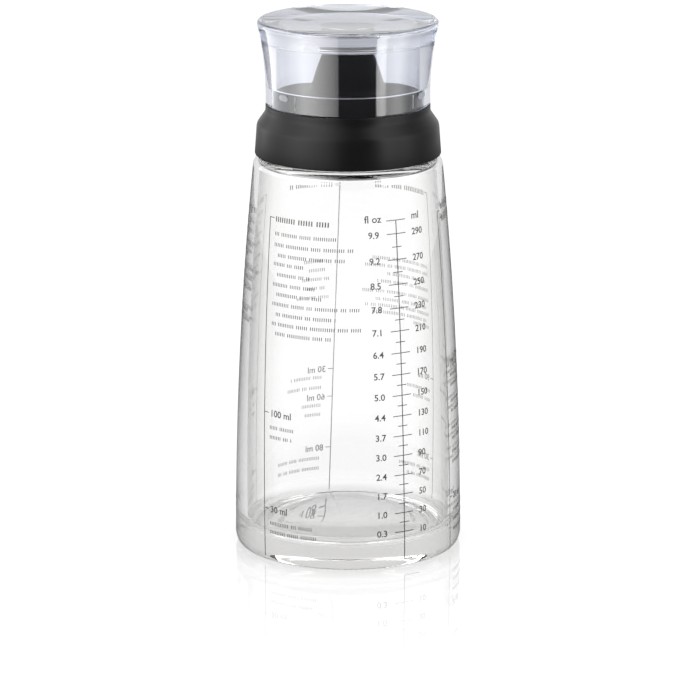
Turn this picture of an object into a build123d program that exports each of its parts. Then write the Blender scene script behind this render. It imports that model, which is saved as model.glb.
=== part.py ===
from build123d import *
from math import cos, radians, tan

# Salad dressing shaker: a conical glass bottle, a black screw collar that holds a pouring
# insert, and a clear flared cap that screws down over the spout. Millimetres, +Z up, with
# the origin in the middle of the ring that the bottle stands on. Every piece is turned from
# a half section: its first coordinate is the radius and its second the height.

# Glass bottle, whose radii all follow the neck
neck_radius = 25.9
neck_height = 7.0
neck_wall = 3.7
neck_foot_round = 0.5
shoulder_width = 3.6
shoulder_round_share = 0.66
body_flare = 6.55
body_height = 125.6
body_bow = 1.45
glass_wall = 3.6
heel_inset = 1.1
heel_height = 3.4
standing_width = 4.6
punt_height = 4.5
base_thickness = 6.0
floor_rise = 6.0
floor_corner = 5.0
throat_slope = 4.2
throat_round = 2.6
lip_round = 0.9

# Neck gasket, flat between the lip of the glass and the insert
gasket_thickness = 1.4
gasket_inset = 0.4
gasket_round = 0.3

# Pouring insert: a flange that is clamped, a boss that carries the cap, and the spout
insert_wall = 1.6
insert_round = 0.7
insert_flange_reach = 0.6
boss_inset = 2.9
boss_height = 13.6
spout_height = 13.9
spout_tip_radius = 7.95
spout_taper = 15.5
spout_foot_round = 4.0
spout_tip_round = 0.95
spout_lip_round = 0.4

# Screw collar: a wide band round the glass neck, a shoulder, and a ring for the cap's skirt
collar_clearance = 0.6
collar_thread_gap = 1.3
collar_band_wall = 1.35
collar_band_draft = 0.72
collar_band_cover = 0.1
collar_slope_height = 3.9
collar_rim_height = 2.4
collar_rim_wall = 1.05
collar_bend = 3.0
collar_edge_round = 0.4
collar_ledge = 1.5
ledge_clearance = 0.1

# Clear cap: thick dished top, wall that flares upwards, and a skirt that drops in the collar
cap_flare = 2.9
cap_flare_sag = 0.93
cap_rim_round = 1.3
cap_rim_land = 1.0
cap_web = 4.5
dish_depth = 1.6
cap_step_inset = 1.4
cap_step_gap = 0.4
cap_bore_draft = 0.2
cap_bore_round = 0.8
cap_thread_depth = 0.6
skirt_wall = 0.85
skirt_round = 0.3
skirt_clearance = 0.3
seam_gap = 0.2
seam_round = 0.4

# Spout seal: a soft pad held in a pocket under the top of the cap
seal_thickness = 2.5
seal_clearance = 0.15
seal_round = 0.4
pocket_margin = 0.85
pocket_depth = 1.3

# Heights at which one piece sits on the next
lip_level = body_height + neck_height
flange_bottom = lip_level + gasket_thickness
flange_top = flange_bottom + insert_wall
ledge_top = flange_top + collar_ledge
collar_foot = body_height + collar_clearance
band_top = flange_top + collar_band_cover
slope_top = band_top + collar_slope_height
collar_top = slope_top + collar_rim_height
disc_top = flange_bottom + boss_height
spout_top = disc_top + spout_height
seal_top = spout_top + seal_thickness
cap_ceiling = seal_top - pocket_depth
cap_top = seal_top + cap_web
cap_foot = collar_top + seam_gap

# Radii that one piece takes from the next
mouth_radius = neck_radius - neck_wall
shoulder_radius = neck_radius + shoulder_width
insert_flange_radius = neck_radius + insert_flange_reach
collar_bore = neck_radius + collar_thread_gap
boss_radius = neck_radius - boss_inset
skirt_bore = boss_radius + cap_thread_depth
skirt_radius = skirt_bore + skirt_wall
collar_mouth = skirt_radius + skirt_clearance
cap_foot_radius = collar_mouth + collar_rim_wall
pocket_radius = spout_tip_radius + pocket_margin


def corner(outline, radius, height):
    """Find the corner of a half section that is nearest to a radius and a height."""
    return outline.vertices().sort_by_distance((radius, height, 0))[0]


# Glass bottle, one blown and pressed wall from the punt to the lip
body_radius = shoulder_radius + body_flare
standing_radius = body_radius - heel_inset
standing_bore = standing_radius - standing_width
inner_radius = body_radius - glass_wall
shoulder_round = shoulder_width * shoulder_round_share
inner_shoulder = shoulder_radius - glass_wall
throat_top = body_height
throat_foot = throat_top - throat_slope
floor_radius = inner_radius - floor_corner
floor_level = base_thickness + floor_corner
floor_top = base_thickness + floor_rise

with BuildPart() as glass_bottle:
    with BuildSketch(Plane.XZ) as bottle_section:
        with BuildLine():
            TangentArc((0, punt_height), (standing_bore, 0), tangent=(1, 0))
            Line((standing_bore, 0), (standing_radius, 0))
            TangentArc(
                (body_radius, heel_height),
                (standing_radius, 0),
                tangent=(0, -1),
            )
            SagittaArc(
                (body_radius, heel_height),
                (shoulder_radius, body_height),
                -body_bow,
            )
            Polyline(
                (shoulder_radius, body_height),
                (neck_radius, body_height),
                (neck_radius, lip_level),
                (mouth_radius, lip_level),
                (mouth_radius, throat_top),
                (inner_shoulder, throat_foot),
            )
            SagittaArc(
                (inner_shoulder, throat_foot),
                (inner_radius, floor_level),
                body_bow,
            )
            TangentArc(
                (inner_radius, floor_level),
                (floor_radius, base_thickness),
                tangent=(0, -1),
            )
            TangentArc((0, floor_top), (floor_radius, base_thickness), tangent=(1, 0))
            Line((0, floor_top), (0, punt_height))
        make_face()
        fillet(corner(bottle_section, shoulder_radius, body_height), shoulder_round)
        fillet(corner(bottle_section, neck_radius, body_height), neck_foot_round)
        fillet(corner(bottle_section, neck_radius, lip_level), lip_round)
        fillet(corner(bottle_section, mouth_radius, lip_level), lip_round)
        fillet(corner(bottle_section, mouth_radius, throat_top), throat_round)
        fillet(corner(bottle_section, inner_shoulder, throat_foot), throat_round)
    revolve(axis=Axis.Z)
glass_bottle.part.label = "glass_bottle"
export_step(glass_bottle.part, "parts/glass_bottle.step")

# Neck gasket, a soft washer with rounded edges
with BuildPart() as neck_gasket:
    with BuildSketch(Plane.XZ) as gasket_section:
        with BuildLine():
            Polyline(
                (mouth_radius + gasket_inset, lip_level),
                (neck_radius - gasket_inset, lip_level),
                (neck_radius - gasket_inset, flange_bottom),
                (mouth_radius + gasket_inset, flange_bottom),
                close=True,
            )
        make_face()
        fillet(gasket_section.vertices(), gasket_round)
    revolve(axis=Axis.Z)
neck_gasket.part.label = "neck_gasket"
export_step(neck_gasket.part, "parts/neck_gasket.step")

# Pouring insert, one thin moulding that is hollow below, so that the dressing rises in it
spout_lean = tan(radians(spout_taper))
spout_foot_radius = spout_tip_radius + spout_height * spout_lean
spout_wall = insert_wall / cos(radians(spout_taper))
boss_bore = boss_radius - insert_wall
hollow_top = disc_top - insert_wall
spout_bore_foot = spout_foot_radius + insert_wall * spout_lean - spout_wall

with BuildPart() as pouring_insert:
    with BuildSketch(Plane.XZ) as insert_section:
        with BuildLine():
            Polyline(
                (boss_bore, flange_bottom),
                (insert_flange_radius, flange_bottom),
                (insert_flange_radius, flange_top),
                (boss_radius, flange_top),
                (boss_radius, disc_top),
                (spout_foot_radius, disc_top),
                (spout_tip_radius, spout_top),
                (spout_tip_radius - spout_wall, spout_top),
                (spout_bore_foot, hollow_top),
                (boss_bore, hollow_top),
                close=True,
            )
        make_face()
        fillet(corner(insert_section, boss_radius, disc_top), insert_round)
        fillet(corner(insert_section, spout_foot_radius, disc_top), spout_foot_round)
        fillet(corner(insert_section, spout_tip_radius, spout_top), spout_tip_round)
        fillet(corner(insert_section, spout_tip_radius - spout_wall, spout_top), spout_lip_round)
        fillet(corner(insert_section, spout_bore_foot, hollow_top), spout_foot_round - insert_wall)
        fillet(corner(insert_section, boss_bore, hollow_top), insert_round)
        fillet(corner(insert_section, insert_flange_radius, flange_bottom), gasket_round)
    revolve(axis=Axis.Z)
pouring_insert.part.label = "pouring_insert"
export_step(pouring_insert.part, "parts/pouring_insert.step")

# Screw collar, which presses the insert's flange and the gasket down on the glass
ledge_bore = boss_radius + ledge_clearance
collar_band_radius = collar_bore + collar_band_wall
collar_foot_radius = collar_band_radius + collar_band_draft

with BuildPart() as screw_collar:
    with BuildSketch(Plane.XZ) as collar_section:
        with BuildLine():
            Polyline(
                (collar_bore, collar_foot),
                (collar_foot_radius, collar_foot),
                (collar_band_radius, band_top),
                (cap_foot_radius, slope_top),
                (cap_foot_radius, collar_top),
                (collar_mouth, collar_top),
                (collar_mouth, ledge_top),
                (ledge_bore, ledge_top),
                (ledge_bore, flange_top),
                (collar_bore, flange_top),
                close=True,
            )
        make_face()
        fillet(corner(collar_section, collar_band_radius, band_top), collar_bend)
        fillet(corner(collar_section, cap_foot_radius, slope_top), collar_bend)
        fillet(corner(collar_section, collar_foot_radius, collar_foot), collar_edge_round)
        fillet(corner(collar_section, collar_bore, collar_foot), collar_edge_round)
    revolve(axis=Axis.Z)
screw_collar.part.label = "screw_collar"
export_step(screw_collar.part, "parts/screw_collar.step")

# Clear cap, one thick moulding, open below
cap_rim_radius = cap_foot_radius + cap_flare
cap_bore_foot = skirt_bore - cap_step_inset
cap_bore_top = cap_bore_foot - cap_bore_draft
rim_level = cap_top - cap_rim_round
dish_radius = cap_rim_radius - cap_rim_round - cap_rim_land
dish_bottom = cap_top - dish_depth
step_level = disc_top + cap_step_gap
skirt_foot = ledge_top + skirt_clearance

with BuildPart() as clear_cap:
    with BuildSketch(Plane.XZ) as cap_section:
        with BuildLine():
            Polyline(
                (skirt_bore, skirt_foot),
                (skirt_radius, skirt_foot),
                (skirt_radius, cap_foot),
                (cap_foot_radius, cap_foot),
            )
            SagittaArc(
                (cap_foot_radius, cap_foot),
                (cap_rim_radius, rim_level),
                cap_flare_sag,
            )
            RadiusArc(
                (cap_rim_radius, rim_level),
                (cap_rim_radius - cap_rim_round, cap_top),
                -cap_rim_round,
            )
            Line((cap_rim_radius - cap_rim_round, cap_top), (dish_radius, cap_top))
            TangentArc((0, dish_bottom), (dish_radius, cap_top), tangent=(1, 0))
            Polyline(
                (0, dish_bottom),
                (0, seal_top),
                (pocket_radius, seal_top),
                (pocket_radius, cap_ceiling),
                (cap_bore_top, cap_ceiling),
                (cap_bore_foot, step_level),
                (skirt_bore, step_level),
                (skirt_bore, skirt_foot),
            )
        make_face()
        fillet(corner(cap_section, cap_bore_top, cap_ceiling), cap_bore_round)
        fillet(corner(cap_section, cap_foot_radius, cap_foot), seam_round)
        fillet(corner(cap_section, skirt_radius, skirt_foot), skirt_round)
        fillet(corner(cap_section, skirt_bore, skirt_foot), skirt_round)
    revolve(axis=Axis.Z)
clear_cap.part.label = "clear_cap"
export_step(clear_cap.part, "parts/clear_cap.step")

# Spout seal, a soft pad that closes the spout when the cap is screwed down
seal_radius = pocket_radius - seal_clearance

with BuildPart() as spout_seal:
    with BuildSketch(Plane.XZ) as seal_section:
        with BuildLine():
            Polyline(
                (0, spout_top),
                (seal_radius, spout_top),
                (seal_radius, seal_top),
                (0, seal_top),
                close=True,
            )
        make_face()
        fillet(corner(seal_section, seal_radius, spout_top), seal_round)
        fillet(corner(seal_section, seal_radius, seal_top), seal_round)
    revolve(axis=Axis.Z)
spout_seal.part.label = "spout_seal"
export_step(spout_seal.part, "parts/spout_seal.step")
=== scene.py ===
import logging
import math
from dataclasses import dataclass, field
from enum import Enum
from typing import Callable

import bpy
from mathutils import Matrix, Vector


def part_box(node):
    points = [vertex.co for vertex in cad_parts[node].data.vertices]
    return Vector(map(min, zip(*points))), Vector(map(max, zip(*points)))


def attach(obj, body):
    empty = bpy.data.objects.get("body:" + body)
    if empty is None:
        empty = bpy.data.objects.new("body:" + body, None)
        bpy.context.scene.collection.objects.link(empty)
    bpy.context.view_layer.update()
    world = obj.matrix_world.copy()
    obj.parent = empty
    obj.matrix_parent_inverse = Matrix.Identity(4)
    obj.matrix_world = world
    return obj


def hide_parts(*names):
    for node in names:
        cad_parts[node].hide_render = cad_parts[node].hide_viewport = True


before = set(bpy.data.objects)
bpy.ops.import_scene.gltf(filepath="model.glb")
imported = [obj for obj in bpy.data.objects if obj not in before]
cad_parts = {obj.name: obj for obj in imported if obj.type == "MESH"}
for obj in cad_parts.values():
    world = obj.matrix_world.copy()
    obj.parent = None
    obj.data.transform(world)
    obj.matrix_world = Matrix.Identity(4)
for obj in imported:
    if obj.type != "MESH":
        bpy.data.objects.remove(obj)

MM = 0.001
WELD = 0.0005 * MM
ORIGIN = (0.0, 0.0, 0.0)
EVEN = (1.0, 1.0, 1.0)
WHITE = (1.0, 1.0, 1.0, 1.0)
LOG = logging.getLogger("dressing_shaker")
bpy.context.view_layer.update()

Piece = bpy.types.Object
Triple = tuple[float, float, float]
Stops = tuple[tuple[float, str], ...]
NodeInput = bpy.types.Node | bpy.types.NodeSocket


def linear(colour: str) -> tuple[float, float, float, float]:
    """Turn a written colour into the linear one that a socket takes.

    Args:
        colour: An sRGB colour such as "#4a4744".

    Returns:
        Red, green, blue and an alpha of one, in linear light.
    """
    shares = [int(colour[place:place + 2], 16) / 255 for place in (1, 3, 5)]
    light = [s / 12.92 if s <= 0.04045 else ((s + 0.055) / 1.055) ** 2.4 for s in shares]
    return (*light, 1.0)


class NodeSheet:
    """The node tree of one material or world, filled a node at a time."""

    def __init__(self, owner: bpy.types.Material | bpy.types.World) -> None:
        """Clear the owner's node tree and keep it.

        Args:
            owner: The material or world that the nodes belong to.
        """
        owner.use_nodes = True
        self.owner = owner
        self.tree = owner.node_tree
        self.tree.nodes.clear()

    def add(
        self, kind: str, inputs: dict | None = None, stops: Stops | list[tuple[float, tuple]] = (), **settings: object,
    ) -> bpy.types.Node:
        """Add a node, set its options, fill or link its inputs and place a ramp's colours.

        Args:
            kind: The node's type name in Blender.
            inputs: Values, sockets or nodes for its inputs, by name or by index. A node gives its first output.
            stops: For a ramp, places from 0 to 1, each with its colour, written or linear.
            settings: The node's own options, such as operation or data_type.

        Returns:
            The new node.
        """
        node = self.tree.nodes.new(kind)
        for name, value in settings.items():
            setattr(node, name, value)
        for key, value in (inputs or {}).items():
            if isinstance(value, NodeInput):
                source = value.outputs[0] if isinstance(value, bpy.types.Node) else value
                self.tree.links.new(source, node.inputs[key])
            else:
                node.inputs[key].default_value = value
        if stops:
            elements = node.color_ramp.elements
            while len(elements) < len(stops):
                elements.new(1.0)
            for element, (place, colour) in zip(elements, stops):
                element.position = place
                element.color = linear(colour) if isinstance(colour, str) else colour
        return node

    def noise(self, size: float, detail: float, stretch: Triple = EVEN) -> bpy.types.Node:
        """Add a noise on Object coordinates.

        Args:
            size: How wide its blotches are, in metres.
            detail: How many finer layers the noise has.
            stretch: How much the pattern is squeezed along each axis.

        Returns:
            The noise.
        """
        place = self.add("ShaderNodeTexCoord").outputs["Object"]
        squeezed = self.add("ShaderNodeMapping", {"Vector": place, "Scale": stretch})
        return self.add("ShaderNodeTexNoise", {"Vector": squeezed, "Scale": 1.0 / size, "Detail": detail})

    def finish(self, shader: NodeInput, kind: str = "Material", **more: NodeInput) -> bpy.types.ID:
        """Link the last shader to the output.

        Args:
            shader: The surface or background to show.
            kind: "Material" or "World".
            more: The output's other inputs, by name.

        Returns:
            The material or world.
        """
        self.add(f"ShaderNodeOutput{kind}", {"Surface": shader, **more})
        return self.owner


@dataclass(frozen=True)
class ClearFinish:
    """A see-through finish: glass, or a polished clear moulding."""

    name: str
    refraction: float
    tints: Stops
    wave_size: float
    wave_depth: float
    roughness: float = 0.0
    wave_stretch: Triple = (1.0, 1.0, 0.35)
    inner_tints: Stops = ((0.0, "#fefefe"), (1.0, "#fefefe"))
    depth_colour: str = "#cbccce"
    depth_density: float = 0.0
    mirror_limit: float = 3.5

    def material(self) -> bpy.types.Material:
        """Make the material: tinted, with painted shade darkening its grazing edges, and slow waves in its surface.

        Returns:
            The new material.
        """
        sheet = NodeSheet(bpy.data.materials.new(self.name))
        facing = sheet.add("ShaderNodeLayerWeight", {"Blend": 0.5}).outputs["Facing"]
        inside = sheet.add("ShaderNodeNewGeometry").outputs["Backfacing"]
        # Painted shade: ramps on how far the surface faces the viewer darken its grazing edges, one ramp outside and
        # one inside.
        painted_edge_tint = sheet.add("ShaderNodeMix", {
            0: inside,
            6: sheet.add("ShaderNodeValToRGB", {"Fac": facing}, self.tints),
            7: sheet.add("ShaderNodeValToRGB", {"Fac": facing}, self.inner_tints),
        }, data_type="RGBA").outputs[2]
        waves = sheet.noise(self.wave_size, 1.0, self.wave_stretch)
        clear = sheet.add("ShaderNodeBsdfPrincipled", {
            "Base Color": painted_edge_tint,
            "Roughness": self.roughness,
            "IOR": self.refraction,
            "Transmission Weight": 1.0,
            "Normal": sheet.add("ShaderNodeBump", {"Height": waves, "Strength": 1.0, "Distance": self.wave_depth}),
        })
        through = sheet.add("ShaderNodeBsdfTransparent", {"Color": linear(self.tints[0][1])})
        path = sheet.add("ShaderNodeLightPath").outputs
        deep = sheet.add("ShaderNodeMath", {0: path["Glossy Depth"], 1: self.mirror_limit}, operation="GREATER_THAN")
        passing = sheet.add("ShaderNodeMath", {0: path["Is Shadow Ray"], 1: deep}, operation="MAXIMUM")
        depth = {}
        if self.depth_density:
            depth["Volume"] = sheet.add("ShaderNodeVolumeAbsorption", {
                "Color": linear(self.depth_colour), "Density": self.depth_density,
            })
        return sheet.finish(sheet.add("ShaderNodeMixShader", {0: passing, 1: clear, 2: through}), **depth)


@dataclass(frozen=True)
class SolidFinish:
    """An opaque moulding, soft part or print, with a fine grain and small wear in its gloss."""

    name: str
    colour: str
    worn_colour: str
    smooth: float
    rough: float
    grain_size: float
    grain_depth: float
    blotch_size: float = 11.1 * MM
    specular: float = 0.5

    def material(self) -> bpy.types.Material:
        """Make the material.

        Returns:
            The new material.
        """
        sheet = NodeSheet(bpy.data.materials.new(self.name))
        blotches = sheet.noise(self.blotch_size, 4.0)
        grain = sheet.noise(self.grain_size, 2.0)
        worn = ((0.35, self.colour), (0.75, self.worn_colour))
        solid = sheet.add("ShaderNodeBsdfPrincipled", {
            "Base Color": sheet.add("ShaderNodeValToRGB", {"Fac": blotches}, worn),
            "Roughness": sheet.add("ShaderNodeMapRange", {
                "Value": blotches, "From Min": 0.3, "From Max": 0.7, "To Min": self.smooth, "To Max": self.rough,
            }),
            "Normal": sheet.add("ShaderNodeBump", {"Height": grain, "Strength": 1.0, "Distance": self.grain_depth}),
            "Specular IOR Level": self.specular,
        })
        return sheet.finish(solid)


class Finish(Enum):
    """The finishes of the shaker's pieces."""

    # Blown clear glass: bright where it is looked through, dark grey along its edges from painted shade, with slow
    # upright waves.
    FLINT_GLASS = ClearFinish(
        "flint_soda_lime_glass", 1.52,
        ((0.25, "#fefefe"), (0.45, "#ececeb"), (0.65, "#c6c7c6"), (0.86, "#7f8180"), (1.0, "#444545")),
        26.3 * MM, 0.05 * MM, inner_tints=((0.3, "#fefefe"), (0.55, "#f7f6f4"), (0.75, "#e6e4e0"), (1.0, "#c0bdb8")),
        depth_colour="#cdccca", depth_density=14.0,
    )
    # Clear styrene acrylonitrile from a polished mould: glassy, slightly blue, and flatter than the glass. Painted
    # shade greys its edges.
    CLEAR_STYRENE = ClearFinish(
        "moulded_clear_styrene_acrylonitrile", 1.57,
        ((0.3, "#e6e8ed"), (0.6, "#d6d9e1"), (0.8, "#a9aeb8"), (1.0, "#6c717a")),
        33.3 * MM, 0.004 * MM, wave_stretch=EVEN, inner_tints=((0.0, "#e1e3ea"), (0.5, "#dfe1e8"), (1.0, "#b4b7c0")),
        depth_colour="#cbccd2", depth_density=25.0,
    )
    # The same plastic where the mould is blasted: a pale mark in the clear wall, with a little painted shade at its
    # edges. Its grit is drawn ten times as coarse.
    FROSTED_STYRENE = ClearFinish(
        "frosted_styrene_acrylonitrile", 1.57, ((0.5, "#f4f6f8"), (1.0, "#c8cbd0")), 1.11 * MM, 0.02 * MM, 0.35, EVEN,
    )
    # Black polypropylene from a spark-eroded mould: matt, with a wide soft sheen. Its grain is drawn coarse to show.
    MATT_POLYPROPYLENE = SolidFinish(
        "spark_eroded_black_polypropylene", "#070708", "#0a0a0b", 0.33, 0.39, 0.385 * MM, 0.02 * MM, specular=0.115,
    )
    # The same plastic from a smoother mould: it shows the light screens as soft upright bands.
    GLOSS_POLYPROPYLENE = SolidFinish(
        "polished_black_polypropylene", "#0d0d0e", "#131314", 0.42, 0.5, 0.667 * MM, 0.004 * MM, specular=0.06,
    )
    # Uncoloured silicone rubber, moulded: a warm milky pad with a dull skin.
    MILKY_SILICONE = SolidFinish("moulded_milky_silicone", "#cfc8be", "#dad4cb", 0.4, 0.5, 0.833 * MM, 0.01 * MM)
    # Grey silicone rubber, stamped from sheet: plain and dull.
    GREY_SILICONE = SolidFinish("stamped_grey_silicone", "#9a9a98", "#a6a6a3", 0.5, 0.6, 0.833 * MM, 0.01 * MM)
    # Screen enamel fired on the glass: a thin dark warm grey, slightly rough.
    SCREEN_ENAMEL = SolidFinish(
        "fired_grey_screen_enamel", "#413f3d", "#4d4a47", 0.45, 0.6, 0.25 * MM, 0.003 * MM, 2.5 * MM,
    )
    # The side of the enamel that lies on the glass: a paler copy of the enamel, painted light that stands in for light
    # through the thin print, as print looks through the far wall.
    ENAMEL_UNDERSIDE = SolidFinish(
        "fired_enamel_with_painted_backlight", "#b3b0ad", "#bfbcb8", 0.5, 0.6, 0.25 * MM, 0.003 * MM, 2.5 * MM,
    )

    def made(self) -> bpy.types.Material:
        """Give this finish's material, making it the first time."""
        return bpy.data.materials.get(self.value.name) or self.value.material()


class Make(Enum):
    """What a piece is made as: its finish, the record's material slot and the body that it rides on."""

    GLASS = (Finish.FLINT_GLASS, "bottle_glass", "bottle")
    PRINT = (Finish.SCREEN_ENAMEL, "bottle_glass", "bottle")
    GASKET = (Finish.GREY_SILICONE, "gasket_silicone", "gasket")
    INSERT = (Finish.GLOSS_POLYPROPYLENE, "insert_plastic", "collar")
    COLLAR = (Finish.MATT_POLYPROPYLENE, "collar_plastic", "collar")
    CAP = (Finish.CLEAR_STYRENE, "cap_plastic", "cap")
    CAP_MARK = (Finish.FROSTED_STYRENE, "cap_plastic", "cap")
    SEAL = (Finish.MILKY_SILICONE, "seal_silicone", "seal")

    def dress(self, piece: Piece) -> Piece:
        """Give a finished piece its material and the body that carries it.

        Args:
            piece: The piece, in place.

        Returns:
            The same piece.
        """
        finish, slot, body = self.value
        piece.data.materials.clear()
        piece.data.materials.append(finish.made())
        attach(piece, body)
        LOG.info("%s: %d faces on %s", piece.name, len(piece.data.polygons), body)
        return piece


def select_none() -> None:
    """Leave edit mode and deselect every object."""
    if bpy.context.object and bpy.context.object.mode != "OBJECT":
        bpy.ops.object.mode_set(mode="OBJECT")
    bpy.ops.object.select_all(action="DESELECT")


def work_on(*pieces: Piece) -> None:
    """Select some pieces and make the first one active.

    Args:
        pieces: The pieces, the active one first.
    """
    select_none()
    for piece in pieces:
        piece.select_set(True)
    bpy.context.view_layer.objects.active = pieces[0]


def edit_all() -> None:
    """Edit the active mesh with everything in it selected."""
    bpy.ops.object.mode_set(mode="EDIT")
    bpy.ops.mesh.select_all(action="SELECT")


def weld_all() -> None:
    """Join the points of the edited mesh that lie on each other, and select everything."""
    bpy.ops.mesh.select_all(action="SELECT")
    bpy.ops.mesh.remove_doubles(threshold=WELD)
    bpy.ops.mesh.select_all(action="SELECT")


def turn_selected(angle: float, axis: str = "Z") -> None:
    """Turn what is selected about an axis through the origin."""
    bpy.ops.transform.rotate(value=angle, orient_axis=axis, center_override=ORIGIN)


def select_points(piece: Piece, wanted: Callable[[Vector], bool]) -> None:
    """Select the vertices of a mesh by their place and go to edit mode.

    Args:
        piece: The mesh object.
        wanted: Says of a vertex's place whether it is selected.
    """
    work_on(piece)
    bpy.ops.object.mode_set(mode="EDIT")
    bpy.ops.mesh.select_mode(type="VERT")
    bpy.ops.mesh.select_all(action="DESELECT")
    bpy.ops.object.mode_set(mode="OBJECT")
    for vertex in piece.data.vertices:
        vertex.select = wanted(vertex.co)
    bpy.ops.object.mode_set(mode="EDIT")


def delete_points(piece: Piece, unwanted: Callable[[Vector], bool]) -> None:
    """Delete some vertices of a mesh by their place.

    Args:
        piece: The mesh object.
        unwanted: Says of a vertex's place whether it goes.
    """
    select_points(piece, unwanted)
    bpy.ops.mesh.delete(type="VERT")
    bpy.ops.object.mode_set(mode="OBJECT")


def apply_modifiers(piece: Piece) -> None:
    """Apply all modifiers of a piece, which is the active one then.

    Args:
        piece: The mesh object.
    """
    work_on(piece)
    for modifier in list(piece.modifiers):
        bpy.ops.object.modifier_apply(modifier=modifier.name)


def sheet_bar(
    left: float, right: float, low: float, high: float, cell: float = 1.5 * MM, tall_cell: float = 4.0 * MM,
) -> Piece:
    """Lay a flat bar on an unrolled sheet, cut finely enough to be wrapped.

    Args:
        left: The bar's left end on the sheet.
        right: The bar's right end.
        low: The height of its lower edge.
        high: The height of its upper edge.
        cell: How wide its faces are.
        tall_cell: How tall its faces are.

    Returns:
        The flat bar.
    """
    across = max(1, round((right - left) / cell))
    along = max(1, round((high - low) / tall_cell))
    select_none()
    bpy.ops.mesh.primitive_grid_add(x_subdivisions=across, y_subdivisions=along, size=1.0)
    edit_all()
    bpy.ops.transform.resize(value=(right - left, high - low, 1.0))
    bpy.ops.transform.translate(value=((left + right) / 2, (low + high) / 2, 0))
    bpy.ops.object.mode_set(mode="OBJECT")
    return bpy.context.object


def wrap_sheet(
    sheet: Piece, radius_at: Callable[[float], float], turn_at: Callable[[float], float], thickness: float,
) -> None:
    """Wrap a flat sheet of marks round a turned wall and give it its thickness, outwards.

    Args:
        sheet: The flat marks, across and up in x and y.
        radius_at: The wall's radius at a height.
        turn_at: The angle of the sheet's zero line to the right of the front, at a height.
        thickness: How thick the marks are.
    """
    for vertex in sheet.data.vertices:
        across, height, _ = vertex.co
        radius = radius_at(height)
        turn = turn_at(height) + across / radius
        vertex.co = (radius * math.sin(turn), -radius * math.cos(turn), height)
    solid = sheet.modifiers.new("thickness", "SOLIDIFY")
    solid.thickness = thickness
    solid.offset = 1.0
    apply_modifiers(sheet)
    edit_all()
    bpy.ops.mesh.normals_make_consistent(inside=False)
    bpy.ops.object.mode_set(mode="OBJECT")


def bowed(share: float, start: float, end: float, sag: float) -> float:
    """Find the value at a share of the way from start to end, on a shallow arc that stands off by the sag."""
    return start + (end - start) * share + 4 * sag * share * (1 - share)


@dataclass
class Outline:
    """The half section of a turned piece, as radius and height in metres, drawn in one direction."""

    points: list[Triple] = field(default_factory=list)

    def to(self, radius: float, height: float, rounding: float = 0.0, parts: int = 1, sag: float = 0.0) -> None:
        """Go straight or along a shallow arc to a point.

        Args:
            radius: The point's radius.
            height: The point's height.
            rounding: The radius of the arc that rounds the corner here, or zero.
            parts: How many parts the way there has.
            sag: How far the way's middle stands off, to the right of the way that it goes.
        """
        if parts > 1:
            start = Vector(self.points[-1][:2])
            along = Vector((radius, height)) - start
            across = Vector((along.y, -along.x)).normalized()
            for step in range(1, parts):
                share = step / parts
                place = start + along * share + across * (4 * sag * share * (1 - share))
                self.points.append((place.x, place.y, 0.0))
        self.points.append((radius, height, rounding))

    def dome(self, radius: float, height: float, rounding: float, parts: int) -> None:
        """Go to a point along a dome that is level on the axis, from the axis or to it.

        Args:
            radius: The end's radius.
            height: The end's height.
            rounding: The radius of the arc that rounds the corner at the end, or zero.
            parts: How many straight parts stand for the dome.
        """
        from_radius, from_height, _ = self.points[-1]
        top, rim = (from_height, height) if from_radius < radius else (height, from_height)
        reach = max(radius, from_radius)
        for step in range(1, parts):
            here = from_radius + (radius - from_radius) * step / parts
            self.points.append((here, top + (rim - top) * (here / reach) ** 2, 0.0))
        self.points.append((radius, height, rounding))

    def rounded(self, closed: bool, parts: int = 7) -> list[tuple[float, float]]:
        """Put arcs in the corners that are rounded.

        Args:
            closed: True if the outline's end joins its start.
            parts: How many straight parts stand for each arc.

        Returns:
            The outline's points.
        """
        smooth: list[tuple[float, float]] = []
        count = len(self.points)
        for index, (radius, height, rounding) in enumerate(self.points):
            inside = closed or 0 < index < count - 1
            if rounding == 0 or not inside:
                smooth.append((radius, height))
                continue
            place = Vector((radius, height))
            back = Vector(self.points[index - 1][:2]) - place
            ahead = Vector(self.points[(index + 1) % count][:2]) - place
            half = back.angle(ahead) / 2
            reach = min(rounding / math.tan(half), 0.95 * back.length, 0.95 * ahead.length)
            start = place + back.normalized() * reach
            end = place + ahead.normalized() * reach
            middle = place + (back.normalized() + ahead.normalized()).normalized() * (reach / math.cos(half))
            spoke = start - middle
            turn = spoke.angle_signed(end - middle)
            for step in range(parts + 1):
                here = middle + Matrix.Rotation(-turn * step / parts, 2) @ spoke
                smooth.append((here.x, here.y))
        return smooth

    def turned(self, name: str, make: Make, closed: bool, steps: int) -> Piece:
        """Spin the outline round the Z axis.

        Args:
            name: The new piece's name.
            make: What it is made as.
            closed: True if the outline's end joins its start, and False if both lie on the axis.
            steps: How many parts the full turn has.

        Returns:
            The turned piece, closed and smooth.
        """
        way = self.rounded(closed)
        if closed:
            way.append(way[0])
        select_none()
        bpy.ops.mesh.primitive_plane_add(size=1.0 * MM)
        piece = bpy.context.object
        piece.name = name
        edit_all()
        bpy.ops.mesh.merge(type="CENTER")
        bpy.ops.transform.translate(value=(way[0][0], 0, way[0][1]))
        for here, there in zip(way, way[1:]):
            bpy.ops.mesh.extrude_vertices_move(
                TRANSFORM_OT_translate={"value": (there[0] - here[0], 0, there[1] - here[1])},
            )
        weld_all()
        bpy.ops.mesh.spin(steps=steps, angle=math.tau, center=ORIGIN, axis=(0, 0, 1))
        weld_all()
        bpy.ops.mesh.normals_make_consistent(inside=False)
        bpy.ops.object.mode_set(mode="OBJECT")
        bpy.ops.object.shade_smooth_by_angle(angle=math.radians(40))
        return make.dress(piece)


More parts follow.
